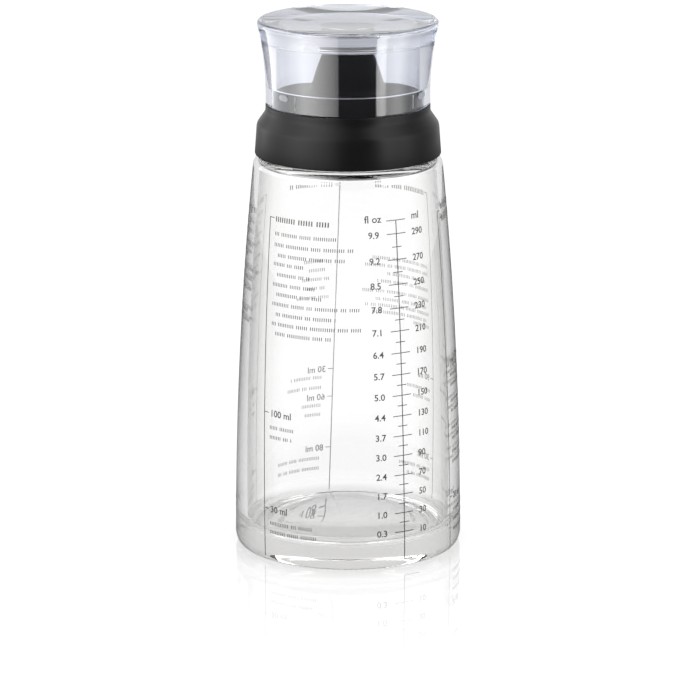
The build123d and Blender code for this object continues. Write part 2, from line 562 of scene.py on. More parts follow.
@dataclass(frozen=True)
class ThreadForm:
    """The ridges that both halves of a screw joint share, equal and evenly spread round a wall."""

    depth: float
    rise: float
    lead: float
    starts: int
    width: float
    root: float = 0.05 * MM
    run_out: float = 0.12
    crest: float = 0.45
    steps: int = 64

    def wind(
        self, name: str, wall: float, foot: float, make: Make, inward: bool = False, turn: float = 0.0,
    ) -> Piece:
        """Sweep one ridge along the helix, run out its ends and copy it for each start.

        Args:
            name: The thread's name.
            wall: The radius of the wall that the ridges stand on.
            foot: The height of their lower end.
            make: What they are made as.
            inward: True if they stand on the inside of the wall.
            turn: How far they are turned about the axis, in degrees.

        Returns:
            The ridges, one piece.
        """
        reach = self.depth + self.root
        side = -1.0 if inward else 1.0
        middle = wall + side * (reach / 2 - self.root)
        select_none()
        bpy.ops.mesh.primitive_plane_add(size=1.0)
        ridge = bpy.context.object
        edit_all()
        bpy.ops.transform.resize(value=(reach, self.width, 1.0))
        turn_selected(-math.pi / 2, "X")
        bpy.ops.transform.translate(value=(middle, 0, foot))
        select_points(ridge, lambda place: side * (place.x - middle) > 0)
        bpy.ops.transform.resize(value=(1.0, 1.0, self.crest), center_override=(middle, 0, foot))
        bpy.ops.object.mode_set(mode="OBJECT")
        sweep = ridge.modifiers.new("helix", "SCREW")
        sweep.angle = math.tau * self.rise / self.lead
        sweep.screw_offset = self.rise
        sweep.steps = sweep.render_steps = self.steps
        sweep.use_merge_vertices = True
        apply_modifiers(ridge)
        for vertex in ridge.data.vertices:
            radius = math.hypot(vertex.co.x, vertex.co.y)
            stand = radius - wall
            if stand * side > 0:
                share = (vertex.co.z - foot) / self.rise
                near_end = max(0.0, min(1.0, min(share, 1.0 - share) / self.run_out))
                sunk = (wall + stand * near_end) / radius
                vertex.co = (vertex.co.x * sunk, vertex.co.y * sunk, vertex.co.z)
        bpy.ops.object.mode_set(mode="EDIT")
        weld_all()
        bpy.ops.mesh.fill_holes(sides=0)
        bpy.ops.mesh.select_all(action="SELECT")
        bpy.ops.mesh.normals_make_consistent(inside=False)
        turn_selected(math.radians(turn))
        for _ in range(self.starts - 1):
            bpy.ops.mesh.duplicate()
            turn_selected(math.tau / self.starts)
        bpy.ops.object.mode_set(mode="OBJECT")
        bpy.ops.object.shade_smooth_by_angle(angle=math.radians(30))
        ridge.name = name
        return make.dress(ridge)


NECK_THREAD = ThreadForm(depth=0.85 * MM, rise=4.4 * MM, lead=8.0 * MM, starts=2, width=1.3 * MM)
CAP_THREAD = ThreadForm(depth=0.42 * MM, rise=2.8 * MM, lead=12.0 * MM, starts=4, width=1.0 * MM)


@dataclass
class GlassBottle:
    """The conical bottle, one wall from the punt to the lip, that the whole shaker stands on."""

    top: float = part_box("glass_bottle")[1].z
    neck_height: float = 7.0 * MM
    neck_radius: float = 25.9 * MM
    neck_round: float = 0.5 * MM
    mouth_radius: float = 22.2 * MM
    mouth_round: float = 1.0 * MM
    shoulder_radius: float = 29.5 * MM
    shoulder_round: float = 3.0 * MM
    body_radius: float = 36.05 * MM
    body_bow: float = 1.45 * MM
    heel_height: float = 3.4 * MM
    heel_bow: float = 0.28 * MM
    heel_round: float = 0.7 * MM
    standing_radius: float = 34.95 * MM
    standing_bore: float = 30.35 * MM
    standing_round: float = 0.8 * MM
    punt_height: float = 4.5 * MM
    wall: float = 3.6 * MM
    base_thickness: float = 6.0 * MM
    floor_rise: float = 6.0 * MM
    floor_corner: float = 5.0 * MM
    floor_inset: float = 6.0 * MM
    floor_round: float = 1.5 * MM
    shoulder_wall: float = 2.1 * MM
    shoulder_side: float = 2.0 * MM
    throat_slope: float = 2.4 * MM
    throat_round: float = 0.7 * MM
    lip_round: float = 0.9 * MM
    thread_start: float = 1.2 * MM
    steps: int = 240
    knurl_height: float = 0.28 * MM
    knurl_band: float = 0.3 * MM
    knurl_inset: float = 0.5 * MM
    slice_height: float = 0.05 * MM

    @property
    def body_height(self) -> float:
        """The height at which the body ends and the neck starts."""
        return self.top - self.neck_height

    def outer_radius(self, height: float) -> float:
        """The outer radius of the body at a height."""
        share = (height - self.heel_height) / (self.body_height - self.heel_height)
        return bowed(share, self.body_radius, self.shoulder_radius, self.body_bow)

    def level(self, millilitres: float) -> float:
        """Find how high a volume fills the solid bottle, adding up thin slices inside its even wall.

        The glass that build() turns thins towards the shoulder, so it holds about 5 % more at 300 ml.

        Args:
            millilitres: The volume.

        Returns:
            The height of the liquid's surface.
        """
        height, held = self.base_thickness, 0.0
        floor_radius = self.body_radius - self.wall - self.floor_inset
        while held < millilitres * MM ** 2:
            radius = self.outer_radius(height) - self.wall
            below_wall = max(0.0, self.base_thickness + self.floor_corner - height)
            radius -= self.floor_corner - math.sqrt(self.floor_corner ** 2 - below_wall ** 2)
            risen = max(0.0, 1.0 - (height - self.base_thickness) / self.floor_rise)
            held += math.pi * (radius ** 2 - floor_radius ** 2 * risen) * self.slice_height
            height += self.slice_height
        return height

    def build(self) -> Piece:
        """Turn the bottle and press the knurl in the ring that it stands on.

        Returns:
            The glass piece.
        """
        inner_shoulder = self.shoulder_radius - self.shoulder_side
        inner_radius = self.body_radius - self.wall
        outline = Outline()
        outline.to(0, self.punt_height)
        outline.dome(self.standing_bore, 0, self.standing_round, 20)
        outline.to(self.standing_radius, 0, self.heel_round, 3)
        outline.to(self.body_radius, self.heel_height, 0, 6, self.heel_bow)
        outline.to(self.shoulder_radius, self.body_height, self.shoulder_round, 40, self.body_bow)
        outline.to(self.neck_radius, self.body_height, self.neck_round)
        outline.to(self.neck_radius, self.top, self.lip_round, 8)
        outline.to(self.mouth_radius, self.top, self.lip_round)
        outline.to(self.mouth_radius, self.body_height - self.shoulder_wall, self.mouth_round)
        outline.to(inner_shoulder, self.body_height - self.throat_slope, self.throat_round)
        outline.to(inner_radius, self.base_thickness + self.floor_corner, 0, 40, -self.body_bow)
        outline.to(inner_radius, self.base_thickness, self.floor_corner)
        outline.to(inner_radius - self.floor_inset, self.base_thickness, self.floor_round)
        outline.dome(0, self.base_thickness + self.floor_rise, 0, 20)
        glass = outline.turned("bottle_wall", Make.GLASS, False, self.steps)
        self.knurl(glass)
        return glass

    def thread(self) -> None:
        """Wind the two ridges that the collar runs on round the neck."""
        NECK_THREAD.wind("neck_thread", self.neck_radius, self.body_height + self.thread_start, Make.GLASS)

    def knurl(self, glass: Piece) -> None:
        """Lift every other column of the standing ring's edge, so that it stands on small teeth.

        Args:
            glass: The turned bottle.
        """
        column = math.tau / self.steps

        def wanted(place: Vector) -> bool:
            """True for the low points outside the ring's inner edge, in every other column."""
            low = place.z < self.knurl_band and math.hypot(place.x, place.y) > self.standing_bore + self.knurl_inset
            return low and round(math.atan2(place.y, place.x) / column) % 2 == 0

        select_points(glass, wanted)
        bpy.ops.transform.translate(value=(0, 0, self.knurl_height))
        bpy.ops.object.mode_set(mode="OBJECT")


@dataclass
class PouringClosure:
    """The gasket, the pouring insert and the screw collar that close the bottle."""

    gasket_foot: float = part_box("neck_gasket")[0].z
    gasket_top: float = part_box("neck_gasket")[1].z
    gasket_radius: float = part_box("neck_gasket")[1].x
    gasket_bore: float = 22.6 * MM
    gasket_round: float = 0.3 * MM
    flange_radius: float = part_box("pouring_insert")[1].x
    flange_round: float = 0.3 * MM
    spout_top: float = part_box("pouring_insert")[1].z
    insert_wall: float = 1.6 * MM
    insert_round: float = 0.2 * MM
    boss_radius: float = 23.0 * MM
    boss_height: float = 13.6 * MM
    boss_round: float = 0.7 * MM
    spout_tip: float = 7.95 * MM
    spout_taper: float = math.radians(15.5)
    spout_round: float = 4.0 * MM
    tip_round: float = 0.95 * MM
    lip_round: float = 0.4 * MM
    collar_foot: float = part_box("screw_collar")[0].z
    collar_top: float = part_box("screw_collar")[1].z
    collar_foot_radius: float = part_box("screw_collar")[1].x
    collar_round: float = 0.4 * MM
    band_radius: float = 28.55 * MM
    band_cover: float = 0.1 * MM
    slope_height: float = 3.9 * MM
    bend: float = 3.0 * MM
    rim_radius: float = 25.8 * MM
    rim_round: float = 0.25 * MM
    mouth: float = 24.75 * MM
    bore: float = 27.2 * MM
    ledge: float = 1.5 * MM
    ledge_clearance: float = 0.1 * MM
    collar_thread_start: float = 0.8 * MM
    boss_thread_start: float = 3.0 * MM
    hair: float = 0.02 * MM
    steps: int = 192

    @property
    def flange_top(self) -> float:
        """The height of the flange's upper face."""
        return self.gasket_top + self.insert_wall

    def build(self) -> list[Piece]:
        """Wind the threads and turn the three pieces.

        Returns:
            The gasket, the insert and the collar.
        """
        start = self.collar_foot + self.collar_thread_start
        NECK_THREAD.wind("collar_thread", self.bore, start, Make.COLLAR, inward=True, turn=99)
        CAP_THREAD.wind("boss_thread", self.boss_radius, self.flange_top + self.boss_thread_start, Make.INSERT)
        return [self.gasket(), self.insert(), self.collar()]

    def gasket(self) -> Piece:
        """Turn the soft washer, a hair clear of the lip and the flange.

        Returns:
            The gasket.
        """
        foot, top = self.gasket_foot + self.hair, self.gasket_top - self.hair
        outline = Outline()
        outline.to(self.gasket_bore, foot, self.gasket_round)
        outline.to(self.gasket_radius, foot, self.gasket_round)
        outline.to(self.gasket_radius, top, self.gasket_round)
        outline.to(self.gasket_bore, top, self.gasket_round)
        return outline.turned("neck_washer", Make.GASKET, True, self.steps)

    def insert(self) -> Piece:
        """Turn the flange, the boss and the spout, one thin moulding.

        Returns:
            The insert.
        """
        lean = math.tan(self.spout_taper)
        across = self.insert_wall / math.cos(self.spout_taper)
        bottom, disc = self.gasket_top, self.gasket_top + self.boss_height
        under = disc - self.insert_wall
        foot = self.spout_tip + (self.spout_top - disc) * lean
        bore_foot = foot + self.insert_wall * lean - across
        boss_bore = self.boss_radius - self.insert_wall
        outline = Outline()
        outline.to(boss_bore, bottom)
        outline.to(self.flange_radius, bottom, self.flange_round)
        outline.to(self.flange_radius, self.flange_top, self.insert_round)
        outline.to(self.boss_radius, self.flange_top, self.insert_round)
        outline.to(self.boss_radius, disc, self.boss_round)
        outline.to(foot, disc, self.spout_round, 4)
        outline.to(self.spout_tip, self.spout_top, self.tip_round)
        outline.to(self.spout_tip - across, self.spout_top, self.lip_round)
        outline.to(bore_foot, under, self.spout_round - self.insert_wall)
        outline.to(boss_bore, under, self.boss_round)
        return outline.turned("pouring_spout", Make.INSERT, True, self.steps)

    def collar(self) -> Piece:
        """Turn the collar, with its band, its shoulder and the ring that takes the cap's skirt.

        Returns:
            The collar.
        """
        band_top = self.flange_top + self.band_cover
        ledge_bore = self.boss_radius + self.ledge_clearance
        outline = Outline()
        outline.to(self.bore, self.collar_foot, self.collar_round)
        outline.to(self.collar_foot_radius, self.collar_foot, self.collar_round)
        outline.to(self.band_radius, band_top, self.bend, 2)
        outline.to(self.rim_radius, band_top + self.slope_height, self.bend)
        outline.to(self.rim_radius, self.collar_top, self.rim_round)
        outline.to(self.mouth, self.collar_top, self.rim_round)
        outline.to(self.mouth, self.flange_top + self.ledge)
        outline.to(ledge_bore, self.flange_top + self.ledge)
        outline.to(ledge_bore, self.flange_top)
        outline.to(self.bore, self.flange_top)
        return outline.turned("collar_band", Make.COLLAR, True, self.steps)


@dataclass
class FlaredCap:
    """The clear cap with its thick dished top, and the soft pad that closes the spout."""

    top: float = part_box("clear_cap")[1].z
    skirt_foot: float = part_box("clear_cap")[0].z
    rim_radius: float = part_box("clear_cap")[1].x
    foot: float = 142.2 * MM
    foot_radius: float = 25.8 * MM
    foot_round: float = 0.4 * MM
    flare_sag: float = 0.93 * MM
    rim_round: float = 1.3 * MM
    rim_land: float = 1.0 * MM
    dish_depth: float = 1.6 * MM
    dish_round: float = 0.5 * MM
    bore_foot: float = 22.2 * MM
    bore_top: float = 22.0 * MM
    bore_round: float = 0.8 * MM
    step_height: float = 5.8 * MM
    step_round: float = 0.12 * MM
    skirt_bore: float = 23.6 * MM
    skirt_radius: float = 24.45 * MM
    skirt_round: float = 0.3 * MM
    seam_round: float = 0.1 * MM
    thread_start: float = 1.2 * MM
    ceiling: float = 162.7 * MM
    pocket_radius: float = 8.8 * MM
    pocket_round: float = 0.2 * MM
    rib_turns: tuple[float, ...] = (-39.0, 51.0, 141.0, 231.0)
    rib_width: float = 0.28 * MM
    rib_heights: tuple[float, float] = (143.4 * MM, 147.6 * MM)
    tab_turns: tuple[float, ...] = (-50.4, 62.2, 129.6, 242.2)
    tab_width: float = 4.2 * MM
    tab_cell: float = 0.25 * MM
    tab_blunt: float = 0.02
    tab_heights: tuple[float, float] = (145.7 * MM, 147.6 * MM)
    mark_thickness: float = 0.16 * MM
    pad_foot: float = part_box("spout_seal")[0].z
    pad_top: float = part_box("spout_seal")[1].z
    pad_radius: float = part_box("spout_seal")[1].x
    pad_round: float = 0.4 * MM
    hair: float = 0.05 * MM
    steps: int = 240

    def build(self) -> list[Piece]:
        """Raise the marks, wind the thread and turn the cap and the pad.

        Returns:
            The cap and the pad.
        """
        self.marks()
        start = self.skirt_foot + self.thread_start
        CAP_THREAD.wind("skirt_thread", self.skirt_bore, start, Make.CAP, inward=True, turn=45)
        return [self.cap(), self.pad()]

    def outer_radius(self, height: float) -> float:
        """The radius of the flared wall at a height."""
        share = (height - self.foot) / (self.top - self.rim_round - self.foot)
        return bowed(share, self.foot_radius, self.rim_radius, -self.flare_sag)

    def marks(self) -> None:
        """Raise the index ribs and the frosted tabs on the flared wall, four of each."""
        rib = sheet_bar(-self.rib_width / 2, self.rib_width / 2, *self.rib_heights)
        tab = sheet_bar(-self.tab_width / 2, self.tab_width / 2, *self.tab_heights, cell=self.tab_cell)
        middle = sum(self.tab_heights) / 2
        end = self.tab_heights[1] - middle
        for vertex in tab.data.vertices:
            over = max(0.0, abs(vertex.co.x) - self.tab_width / 2 + end) / end
            shrunk = math.sqrt(max(0.0, 1 - over ** 2) + self.tab_blunt)
            vertex.co.y = middle + (vertex.co.y - middle) * shrunk
        for name, flat, turns in (("index_ribs", rib, self.rib_turns), ("frosted_tabs", tab, self.tab_turns)):
            first = math.radians(turns[0])
            wrap_sheet(flat, lambda z: self.outer_radius(z) - self.hair, lambda _: first, self.mark_thickness)
            edit_all()
            for here, there in zip(turns, turns[1:]):
                bpy.ops.mesh.duplicate()
                turn_selected(math.radians(here - there))
            bpy.ops.object.mode_set(mode="OBJECT")
            flat.name = name
            Make.CAP_MARK.dress(flat)

    def cap(self) -> Piece:
        """Turn the cap, one thick moulding that is open below.

        Returns:
            The cap.
        """
        step = self.foot + self.step_height
        outline = Outline()
        outline.to(0, self.top - self.dish_depth)
        outline.dome(self.rim_radius - self.rim_round - self.rim_land, self.top, self.dish_round, 24)
        outline.to(self.rim_radius, self.top, self.rim_round)
        outline.to(self.foot_radius, self.foot, self.foot_round, 16, self.flare_sag)
        outline.to(self.skirt_radius, self.foot, self.seam_round)
        outline.to(self.skirt_radius, self.skirt_foot, self.skirt_round)
        outline.to(self.skirt_bore, self.skirt_foot, self.skirt_round)
        outline.to(self.skirt_bore, step, self.step_round)
        outline.to(self.bore_foot, step, self.step_round)
        outline.to(self.bore_top, self.ceiling, self.bore_round, 4)
        outline.to(self.pocket_radius, self.ceiling, self.pocket_round, 6)
        outline.to(self.pocket_radius, self.pad_top, self.pocket_round)
        outline.to(0, self.pad_top, 0, 6)
        return outline.turned("cap_cover", Make.CAP, False, self.steps)

    def pad(self) -> Piece:
        """Turn the soft pad in the pocket under the cap's top.

        Returns:
            The pad.
        """
        foot, top = self.pad_foot + self.hair, self.pad_top - self.hair
        outline = Outline()
        outline.to(0, foot)
        outline.to(self.pad_radius, foot, self.pad_round, 4)
        outline.to(self.pad_radius, top, self.pad_round)
        outline.to(0, top, 0, 4)
        return outline.turned("spout_pad", Make.SEAL, False, self.steps)


@dataclass(frozen=True)
class Panel:
    """One printed panel: an upright line with rows of small strokes and numbered ticks right of it.

    The foot and the top are azimuths in degrees, and everything else is in millimetres: a heading is
    a height and an end, a row a height, a start and an end, and a tick a height and what it says.
    """

    name: str
    foot: float
    top: float
    high: float
    headings: tuple[tuple[float, float], ...]
    rows: tuple[Triple, ...]
    ticks: Stops


PANELS = (
    Panel(
        "front_panel", -46.2, -50.6, 110.2, ((109.8, 22.4),),
        (
            (105.3, 2.6, 24.5), (101.9, 2.6, 29.8), (98.7, 4.2, 27.6), (95.9, 2.6, 14.4), (92.7, 4.2, 16.2),
            (89.5, 2.6, 18.3), (86.5, 4.2, 20.4), (83.4, 2.6, 32.3), (80.2, 4.2, 25.3), (77.1, 2.6, 33.4),
            (74.1, 4.2, 23.9), (43.9, 2.5, 11.9), (40.8, 2.5, 11.2), (12.9, 2.5, 18.2), (10.0, 2.5, 19.8),
        ),
        ((48.5, "100 ml"), (17.5, "30 ml")),
    ),
    Panel(
        "right_panel", 64.1, 63.5, 110.4, ((111.4, 24.0), (107.6, 17.0)),
        (
            (62.0, 2.6, 24.0), (57.4, 2.6, 27.0), (54.2, 2.6, 22.5), (49.0, 2.6, 25.0), (45.8, 2.6, 28.5),
            (40.0, 2.6, 21.5), (36.8, 2.6, 27.5), (32.4, 2.6, 24.0), (29.2, 2.6, 19.0), (13.4, 2.6, 26.0),
            (10.2, 2.6, 21.0), (7.0, 2.6, 23.0),
        ),
        ((60.6, "110 ml"), (18.0, "20 ml")),
    ),
    Panel(
        "right_back_panel", 121.5, 118.0, 110.3, ((109.8, 25.0),),
        (
            (84.9, 2.6, 27.0), (82.4, 2.6, 30.5), (79.7, 4.2, 22.0), (77.0, 2.6, 25.5), (73.6, 2.6, 31.0),
            (70.9, 4.2, 26.5), (68.8, 2.6, 30.5), (66.5, 4.2, 28.0), (64.6, 2.6, 12.0), (43.0, 2.6, 15.0),
            (39.9, 2.6, 12.0), (16.0, 2.6, 19.0), (12.9, 2.6, 14.5),
        ),
        ((47.6, "90 ml"), (20.4, "30 ml")),
    ),
    Panel(
        "back_panel", 191.1, 185.0, 110.3, ((109.8, 19.0),),
        (
            (83.6, 4.2, 13.0), (80.6, 4.2, 10.5), (77.5, 2.6, 13.5), (74.4, 4.2, 11.0), (71.3, 2.6, 14.5),
            (43.8, 4.2, 16.4), (40.3, 4.2, 17.8), (34.2, 4.2, 11.7), (31.1, 4.2, 10.5), (16.0, 4.2, 22.0),
            (12.6, 4.2, 22.0),
        ),
        ((46.6, "30 ml"), (37.1, "60 ml"), (19.6, "80 ml")),
    ),
    Panel(
        "left_back_panel", 250.0, 246.0, 110.3, ((109.3, 22.0),),
        (
            (105.3, 2.6, 21.0), (102.2, 4.2, 21.5), (98.6, 2.6, 25.5), (95.6, 4.2, 21.0), (91.2, 2.6, 30.5),
            (88.2, 4.2, 28.0), (85.0, 2.6, 27.0), (78.0, 2.6, 25.5), (75.0, 4.2, 27.0), (41.5, 2.6, 13.0),
            (38.4, 2.6, 9.5), (14.2, 2.6, 17.0), (11.1, 2.6, 14.0),
        ),
        ((46.0, "100 ml"), (18.6, "40 ml")),
    ),
)


@dataclass
class ScreenPrint:
    """The grey print on the bottle: a volume scale with its numbers, and panels of plain rows."""

    bottle: GlassBottle
    lift: float = 0.012 * MM
    thickness: float = 0.03 * MM
    line_width: float = 0.32 * MM
    tick_width: float = 0.26 * MM
    type_size: float = 2.9 * MM
    number_size: float = 3.0 * MM
    boldness: float = 0.045 * MM
    scale_azimuths: tuple[float, float] = (29.6, 28.4)
    scale_foot: float = 2.6 * MM
    scale_foot_reach: float = 5.7 * MM
    scale_top: float = 110.5 * MM
    tick_rise: float = 0.3 * MM
    long_tick: float = 3.3 * MM
    short_tick: float = 1.65 * MM
    ounces: tuple[str, ...] = (
        "0.3", "1.0", "1.7", "2.4", "3.0", "3.7", "4.4", "5.0", "5.7", "6.4", "7.1", "7.8", "8.5", "9.2", "9.9",
    )
    ounces_end: float = -5.8 * MM
    ounces_unit_end: float = -4.9 * MM
    millilitres_start: float = 5.7 * MM
    units_height: float = 111.5 * MM
    units_size: float = 3.15 * MM
    panel_foot: float = 1.7 * MM
    panel_tick: float = 1.9 * MM
    panel_text: float = 2.6 * MM
    stroke: Triple = (0.26 * MM, 1.1 * MM, 0.68 * MM)
    heading_stroke: Triple = (0.42 * MM, 1.6 * MM, 0.88 * MM)
    words: tuple[int, ...] = (3, 9, 6, 12, 5, 10, 7, 3, 11)

    def build(self) -> None:
        """Print the scale and the panels, each of them one piece."""
        self.scale()
        for index, panel in enumerate(PANELS):
            self.panel(panel, index)

    def line(self, foot: float, top: float) -> Piece:
        """Lay the sheet's upright line between two heights."""
        return sheet_bar(-self.line_width / 2, self.line_width / 2, foot, top)

    def tick(self, left: float, right: float, height: float) -> Piece:
        """Lay a level tick between two places, with its middle at a height."""
        return sheet_bar(left, right, height - self.tick_width / 2, height + self.tick_width / 2)

    def scale(self) -> None:
        """Print the volume scale.

        A tick stands where the solid bottle, with its even wall, holds the volume, and tick_rise
        higher. The rise has no physical ground: it brings the ticks to the photo's on average.
        """
        half = self.line_width / 2
        marks = [
            self.line(self.scale_foot, self.bottle.level(300) + self.tick_rise),
            self.tick(half, self.scale_foot_reach, self.scale_foot + self.tick_width / 2),
        ]
        for volume in range(10, 301, 10):
            height = self.bottle.level(volume) + self.tick_rise
            labelled = volume % 20 == 10
            reach = self.long_tick if labelled or volume == 300 else self.short_tick
            marks.append(self.tick(-reach, reach, height))
            if labelled:
                ounces = self.ounces[volume // 20]
                marks.append(self.number(ounces, "RIGHT", self.ounces_end, height, self.type_size))
                marks.append(self.number(str(volume), "LEFT", self.millilitres_start, height, self.type_size))
        for unit, side, place in (("fl oz", "RIGHT", self.ounces_unit_end), ("ml", "LEFT", self.millilitres_start)):
            marks.append(self.number(unit, side, place, self.units_height, self.units_size))
        self.wrap("volume_scale", marks, *self.scale_azimuths)

    def panel(self, panel: Panel, index: int) -> None:
        """Print one panel.

        Args:
            panel: What it holds.
            index: Its place in the row of panels, which shifts the words of its rows.
        """
        half = self.line_width / 2
        high = panel.high * MM
        marks = [self.line(self.panel_foot, high), self.tick(half, self.panel_tick, high - self.tick_width / 2)]
        for height, end in panel.headings:
            marks.append(self.row(self.panel_text, end * MM, height * MM, self.heading_stroke, index + 1))
        for order, (height, start, end) in enumerate(panel.rows):
            marks.append(self.row(start * MM, end * MM, height * MM, self.stroke, index + 2 * order))
        for height, text in panel.ticks:
            marks.append(self.tick(half, self.panel_tick, height * MM))
            marks.append(self.number(text, "LEFT", self.panel_text, height * MM, self.number_size))
        self.wrap(panel.name, marks, panel.foot, panel.top)

    def row(self, start: float, end: float, height: float, stroke: Triple, shift: int) -> Piece:
        """Lay a row of equal upright strokes, with gaps as between words.

        Args:
            start: Where the row starts, to the right of the panel's line.
            end: Where it ends.
            height: The height of its middle.
            stroke: A stroke's width and height, and the spacing of the strokes.
            shift: Where in the list of word lengths the row starts.

        Returns:
            The flat row.
        """
        width, tall, pitch = stroke
        piece = sheet_bar(start, start + width, height - tall / 2, height + tall / 2)
        count = max(1, round((end - start) / pitch))
        gaps, reached, word = set(), 0, shift
        while reached < count:
            reached += self.words[word % len(self.words)]
            gaps.add(reached)
            reached += 1
            word += 1
        repeat = piece.modifiers.new("strokes", "ARRAY")
        repeat.count = count
        repeat.use_relative_offset = False
        repeat.use_constant_offset = True
        repeat.constant_offset_displace = (pitch, 0, 0)
        apply_modifiers(piece)
        delete_points(piece, lambda place: int((place.x - start + 0.1 * pitch) / pitch) in gaps)
        return piece

    def number(self, text: str, side: str, place: float, height: float, size: float) -> Piece:
        """Set a number or a unit on the sheet.

        Args:
            text: What it says.
            side: "LEFT" if it starts at the place and "RIGHT" if it ends there.
            place: Where it starts or ends, to the right of the panel's line.
            height: The height of its middle.
            size: The height of the type.

        Returns:
            The flat number.
        """
        select_none()
        bpy.ops.object.text_add()
        piece = bpy.context.object
        piece.data.body = text
        piece.data.size = size
        piece.data.offset = self.boldness
        piece.data.resolution_u = 3
        piece.data.align_x = side
        bpy.ops.object.convert(target="MESH")
        piece = bpy.context.object
        piece.location = (place, height - 0.35 * size, 0)
        bpy.ops.object.transform_apply(location=True, rotation=True, scale=True)
        return piece

    def wrap(self, name: str, marks: list[Piece], foot: float, top: float) -> None:
        """Wrap a flat sheet of marks on the glass and give the ink its thickness.

        The ink is dark outside and paler where it lies on the glass, which is painted light.

        Args:
            name: The print's name.
            marks: The flat marks.
            foot: The azimuth of the panel's line at the foot, in degrees right of the front.
            top: The same at the top of the scale.
        """
        work_on(*marks)
        bpy.ops.object.join()
        ink = bpy.context.object
        ink.name = name
        lean = math.radians(top - foot) / self.scale_top
        wrap_sheet(
            ink,
            lambda height: self.bottle.outer_radius(height) + self.lift,
            lambda height: math.radians(foot) + lean * height,
            self.thickness,
        )
        Make.PRINT.dress(ink)
        # The face on the glass takes the paler copy of the enamel: painted light.
        ink.data.materials.append(Finish.ENAMEL_UNDERSIDE.made())
        for face in ink.data.polygons:
            spoke = Vector((face.center.x, face.center.y, 0)).normalized()
            face.material_index = 1 if face.normal.dot(spoke) < -0.5 else 0


